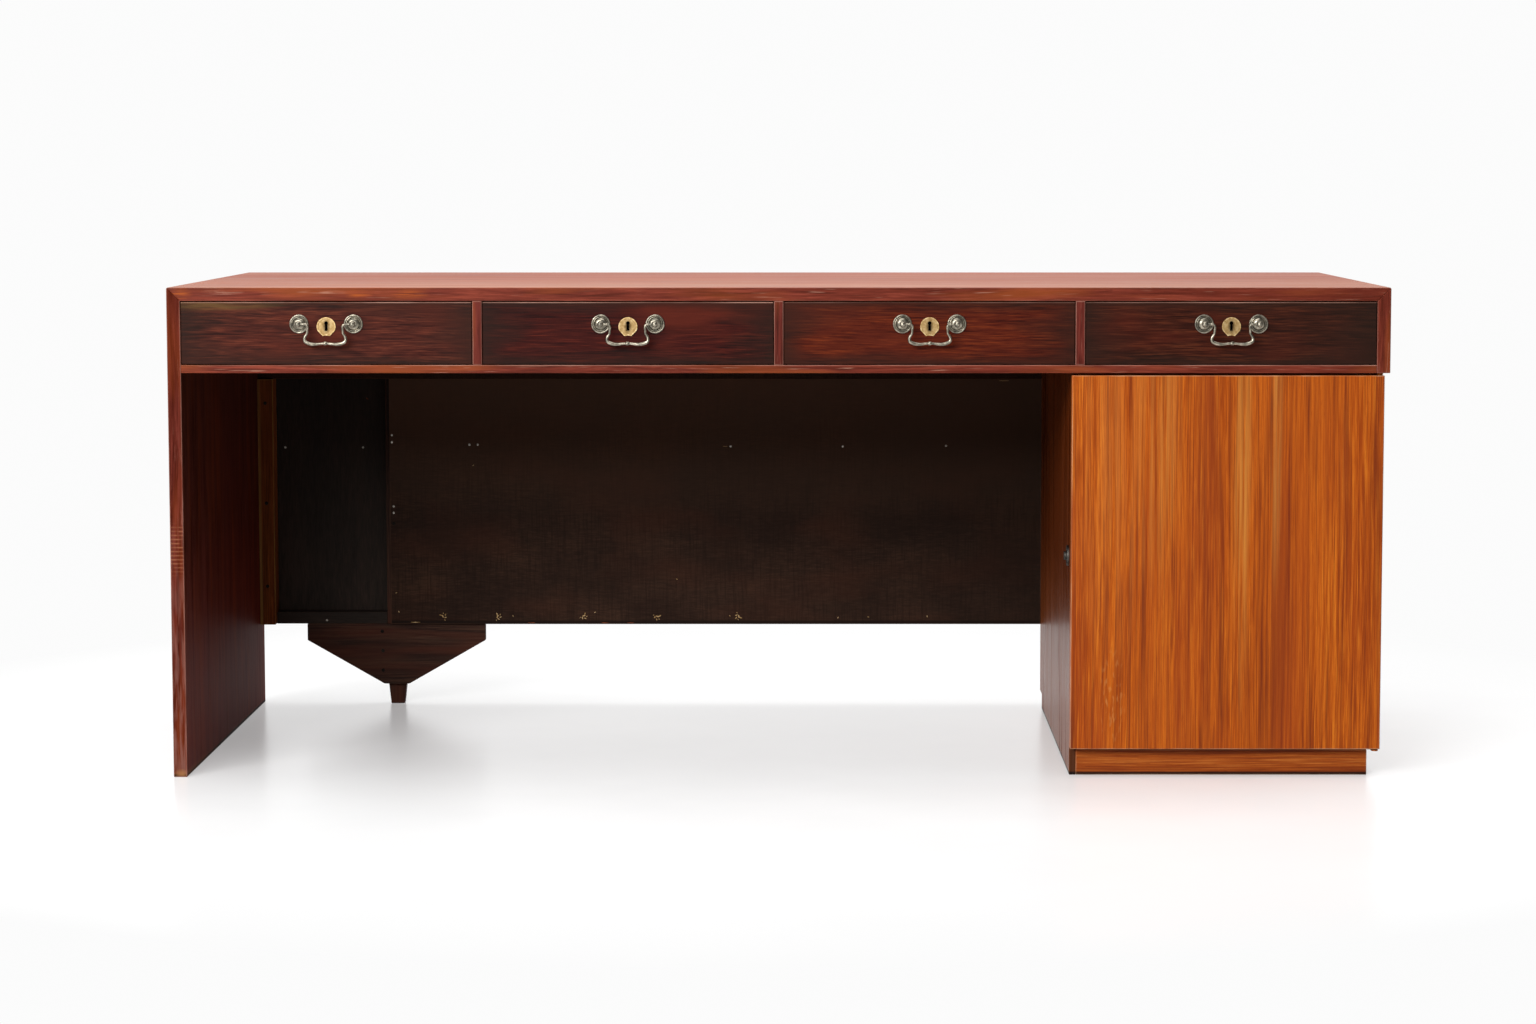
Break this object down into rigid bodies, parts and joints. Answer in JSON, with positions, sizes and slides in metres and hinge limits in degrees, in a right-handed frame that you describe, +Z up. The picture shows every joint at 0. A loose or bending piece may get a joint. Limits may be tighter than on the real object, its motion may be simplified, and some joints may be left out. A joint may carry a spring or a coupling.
{
  "type": "kneehole desk",
  "caption": "Wide writing desk on a slab leg and a pedestal cabinet, with flush locking drawers on swan-neck pulls, a kneehole with a boarded back and a plain hinged door.",
  "frame": {"origin": "on the floor, under the middle of the desk's box", "axes": "+X to the sitter's right along the front, +Y from the drawer fronts to the back, +Z up"},
  "size_m": [1.8, 0.7996, 0.727],
  "materials": {
    "mahogany": "oiled",
    "drawer_front_wood": "oiled",
    "teak": "lacquered",
    "stained_board": "stained",
    "stained_side": "stained",
    "cleat_wood": "stained",
    "drawer_wood": "waxed",
    "pull_metal": "antiqued",
    "brass": "satin",
    "steel": "satin"
  },
  "bodies": {
    "desk": {"top_board": "mahogany", "left_slab": "mahogany", "right_end": "mahogany", "deck": "mahogany", "dividers": "mahogany", "box_back": "stained_board", "drawer_stops": "drawer_wood", "fixed_hinge_leaves": "steel", "pedestal_left_side": "stained_side", "pedestal_right_side": "teak", "pedestal_top": "teak", "pedestal_bottom": "teak", "pedestal_back": "stained_board", "pedestal_shelf": "teak", "pedestal_plinth": "teak", "packing_strips": "drawer_wood", "pedestal_lock_collar": "steel", "back_batten": "stained_board", "slab_cleat": "cleat_wood", "back_post": "stained_board", "back_rails": "stained_board", "gusset": "stained_board", "back_panel_left": "stained_board", "back_panel_right": "stained_board"},
    "drawer_1": {"drawer_1_front": "drawer_front_wood", "drawer_1_sides_and_back": "drawer_wood", "drawer_1_bottom": "drawer_wood", "drawer_1_lock": "brass", "drawer_1_escutcheon": "brass", "drawer_1_pull_posts": "pull_metal"},
    "bail_1": {"drawer_1_bail": "pull_metal"},
    "lock_bolt_1": {"drawer_1_lock_bolt": "brass"},
    "drawer_2": {"drawer_2_front": "drawer_front_wood", "drawer_2_sides_and_back": "drawer_wood", "drawer_2_bottom": "drawer_wood", "drawer_2_lock": "brass", "drawer_2_escutcheon": "brass", "drawer_2_pull_posts": "pull_metal"},
    "bail_2": {"drawer_2_bail": "pull_metal"},
    "lock_bolt_2": {"drawer_2_lock_bolt": "brass"},
    "drawer_3": {"drawer_3_front": "drawer_front_wood", "drawer_3_sides_and_back": "drawer_wood", "drawer_3_bottom": "drawer_wood", "drawer_3_lock": "brass", "drawer_3_escutcheon": "brass", "drawer_3_pull_posts": "pull_metal"},
    "bail_3": {"drawer_3_bail": "pull_metal"},
    "lock_bolt_3": {"drawer_3_lock_bolt": "brass"},
    "drawer_4": {"drawer_4_front": "drawer_front_wood", "drawer_4_sides_and_back": "drawer_wood", "drawer_4_bottom": "drawer_wood", "drawer_4_lock": "brass", "drawer_4_escutcheon": "brass", "drawer_4_pull_posts": "pull_metal"},
    "bail_4": {"drawer_4_bail": "pull_metal"},
    "lock_bolt_4": {"drawer_4_lock_bolt": "brass"},
    "door": {"door": "teak", "door_hinge_leaves": "steel", "door_keeper": "steel"},
    "pedestal_lock": {"pedestal_lock_plug": "steel"}
  },
  "joints": [
    {"name": "drawer_1_slide", "type": "slide", "parent": "desk", "child": "drawer_1", "axis": [0, -1, 0], "range_m": [0, 0.4]},
    {"name": "bail_1_swing", "type": "hinge", "parent": "drawer_1", "child": "bail_1", "pos_m": [-0.66525, -0.3952, 0.6735], "axis": [-1, 0, 0], "range_deg": [-20, 175]},
    {"name": "lock_bolt_1_throw", "type": "slide", "parent": "drawer_1", "child": "lock_bolt_1", "axis": [0, 0, 1], "range_m": [0, 0.007]},
    {"name": "drawer_2_slide", "type": "slide", "parent": "desk", "child": "drawer_2", "axis": [0, -1, 0], "range_m": [0, 0.4]},
    {"name": "bail_2_swing", "type": "hinge", "parent": "drawer_2", "child": "bail_2", "pos_m": [-0.22175, -0.3952, 0.6735], "axis": [-1, 0, 0], "range_deg": [-20, 175]},
    {"name": "lock_bolt_2_throw", "type": "slide", "parent": "drawer_2", "child": "lock_bolt_2", "axis": [0, 0, 1], "range_m": [0, 0.007]},
    {"name": "drawer_3_slide", "type": "slide", "parent": "desk", "child": "drawer_3", "axis": [0, -1, 0], "range_m": [0, 0.4]},
    {"name": "bail_3_swing", "type": "hinge", "parent": "drawer_3", "child": "bail_3", "pos_m": [0.22175, -0.3952, 0.6735], "axis": [-1, 0, 0], "range_deg": [-20, 175]},
    {"name": "lock_bolt_3_throw", "type": "slide", "parent": "drawer_3", "child": "lock_bolt_3", "axis": [0, 0, 1], "range_m": [0, 0.007]},
    {"name": "drawer_4_slide", "type": "slide", "parent": "desk", "child": "drawer_4", "axis": [0, -1, 0], "range_m": [0, 0.4]},
    {"name": "bail_4_swing", "type": "hinge", "parent": "drawer_4", "child": "bail_4", "pos_m": [0.66525, -0.3952, 0.6735], "axis": [-1, 0, 0], "range_deg": [-20, 175]},
    {"name": "lock_bolt_4_throw", "type": "slide", "parent": "drawer_4", "child": "lock_bolt_4", "axis": [0, 0, 1], "range_m": [0, 0.007]},
    {"name": "door_swing", "type": "hinge", "parent": "desk", "child": "door", "pos_m": [0.886, -0.3692, 0.32], "axis": [0, 0, 1], "range_deg": [0, 105]},
    {"name": "pedestal_lock_turn", "type": "hinge", "parent": "desk", "child": "pedestal_lock", "pos_m": [0.432, -0.3202, 0.325], "axis": [-1, 0, 0], "range_deg": [0, 75]}
  ]
}
